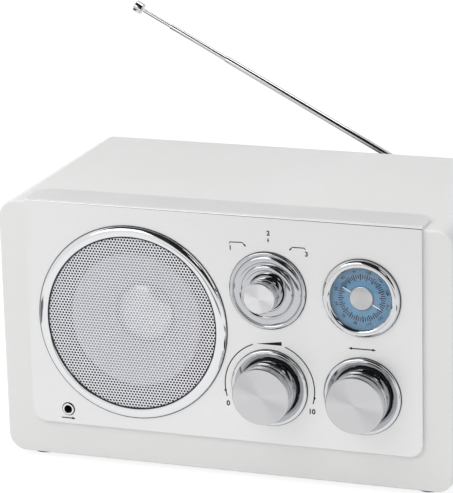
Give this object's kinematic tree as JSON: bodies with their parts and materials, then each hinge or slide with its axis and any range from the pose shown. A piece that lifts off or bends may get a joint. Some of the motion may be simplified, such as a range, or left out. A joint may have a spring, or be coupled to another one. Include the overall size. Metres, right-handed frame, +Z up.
{
  "type": "tabletop radio",
  "caption": "Tabletop radio: white lacquered box, folded silver front panel, round grille, chromed knobs, geared tuning dial and a telescopic antenna behind.",
  "frame": {"origin": "centre of the bounding box on the surface that the feet stand on", "axes": "+X to the right seen from the front, +Y to the back, +Z up"},
  "size_m": [0.214, 0.1492, 0.1901],
  "materials": {
    "lacquered_fibreboard": "satin white lacquer",
    "silver_plastic": "satin silver-white moulding",
    "chrome": "polished chrome plating",
    "spun_aluminium": "spun face",
    "steel": "pressed sheet",
    "perforated_steel": "silver-grey painted perforated sheet",
    "cone_paper": "grey-white pulp",
    "rubber": "matte black",
    "ferrite": "dark grey sintered",
    "clear_plastic": "clear",
    "blue_plastic": "blue printed scale",
    "white_plastic": "white",
    "black_plastic": "fine matte",
    "nylon": "natural nylon",
    "board": "brown phenolic board",
    "copper_wire": "enamelled copper winding"
  },
  "bodies": {
    "housing": {"cabinet": "lacquered_fibreboard", "front_panel": "silver_plastic", "speaker_trim_ring": "chrome", "selector_trim_ring": "chrome", "volume_trim_ring": "chrome", "tuning_trim_ring": "chrome", "dial_trim_ring": "chrome", "aux_ring": "chrome", "speaker_basket": "steel", "speaker_top_plate": "steel", "speaker_yoke": "steel", "wave_switch": "steel", "volume_potentiometer": "steel", "gear_plate": "steel", "transformer_core": "steel", "cover_screw_top_left": "steel", "cover_screw_top_right": "steel", "cover_screw_bottom_left": "steel", "cover_screw_bottom_right": "steel", "idler_clip": "steel", "speaker_grille": "perforated_steel", "speaker_surround": "rubber", "foot_front_left": "rubber", "foot_front_right": "rubber", "foot_back_left": "rubber", "foot_back_right": "rubber", "speaker_magnet": "ferrite", "ferrite_rod": "ferrite", "dial_lens": "clear_plastic", "tuning_capacitor": "clear_plastic", "dial_scale": "blue_plastic", "ferrite_holder": "white_plastic", "back_cover": "black_plastic", "mains_inlet": "black_plastic", "aux_socket": "black_plastic", "antenna_base": "black_plastic", "main_board": "board", "transformer_winding": "copper_wire", "ferrite_coil": "copper_wire"},
    "selector": {"selector_knob": "chrome", "selector_knob_cap": "spun_aluminium", "selector_shaft": "steel"},
    "volume": {"volume_knob": "chrome", "volume_knob_cap": "spun_aluminium", "volume_shaft": "steel"},
    "tuning": {"tuning_knob": "chrome", "tuning_knob_cap": "spun_aluminium", "tuning_shaft": "steel", "tuning_pinion": "nylon"},
    "idler": {"idler_gear": "nylon"},
    "pointer": {"dial_hub": "spun_aluminium", "dial_pointer": "white_plastic", "dial_gear": "nylon"},
    "cone": {"speaker_cone": "cone_paper", "speaker_dust_cap": "cone_paper"},
    "antenna_turntable": {"antenna_swivel": "chrome"},
    "antenna_mast": {"antenna_outer_tube": "chrome"},
    "antenna_middle": {"antenna_middle_tube": "chrome"},
    "antenna_rod": {"antenna_inner_rod": "chrome", "antenna_tip": "chrome"}
  },
  "joints": [
    {"name": "selector_turn", "type": "hinge", "parent": "housing", "child": "selector", "pos_m": [0.0225, -0.06915, 0.0906], "axis": [0, 1, 0], "range_deg": [-30, 30]},
    {"name": "volume_turn", "type": "hinge", "parent": "housing", "child": "volume", "pos_m": [0.0225, -0.06915, 0.0452], "axis": [0, 1, 0], "range_deg": [0, 300]},
    {"name": "tuning_turn", "type": "hinge", "parent": "housing", "child": "tuning", "pos_m": [0.0659, -0.06915, 0.0452], "axis": [0, 1, 0], "range_deg": [-66, 474]},
    {"name": "idler_turn", "type": "hinge", "parent": "housing", "child": "idler", "pos_m": [0.06265, -0.05415, 0.06153], "axis": [0, 1, 0], "range_deg": [-290, 42]},
    {"name": "pointer_turn", "type": "hinge", "parent": "housing", "child": "pointer", "pos_m": [0.0659, -0.06115, 0.0906], "axis": [0, 1, 0], "range_deg": [-22.5, 158.5]},
    {"name": "cone_travel", "type": "slide", "parent": "housing", "child": "cone", "axis": [0, 1, 0], "range_m": [-0.001, 0.001], "stiffness_N_per_m": 1500},
    {"name": "antenna_swivel_turn", "type": "hinge", "parent": "housing", "child": "antenna_turntable", "pos_m": [0.084, 0.07185, 0.0969], "axis": [0, 1, 0], "range_deg": [-27.8, 152.2]},
    {"name": "antenna_tilt", "type": "hinge", "parent": "antenna_turntable", "child": "antenna_mast", "pos_m": [0.084, 0.07185, 0.0969], "axis": [-0.4664, 0, -0.8846], "range_deg": [0, 90]},
    {"name": "antenna_middle_slide", "type": "slide", "parent": "antenna_mast", "child": "antenna_middle", "axis": [-0.8846, 0, 0.4664], "range_m": [-0.031, 0.075]},
    {"name": "antenna_rod_slide", "type": "slide", "parent": "antenna_middle", "child": "antenna_rod", "axis": [-0.8846, 0, 0.4664], "range_m": [-0.0146, 0.085]}
  ],
  "couplings": [
    {"joint": "pointer_turn", "follows": "tuning_turn", "ratio": 0.33333},
    {"joint": "idler_turn", "follows": "tuning_turn", "ratio": -0.6087}
  ]
}
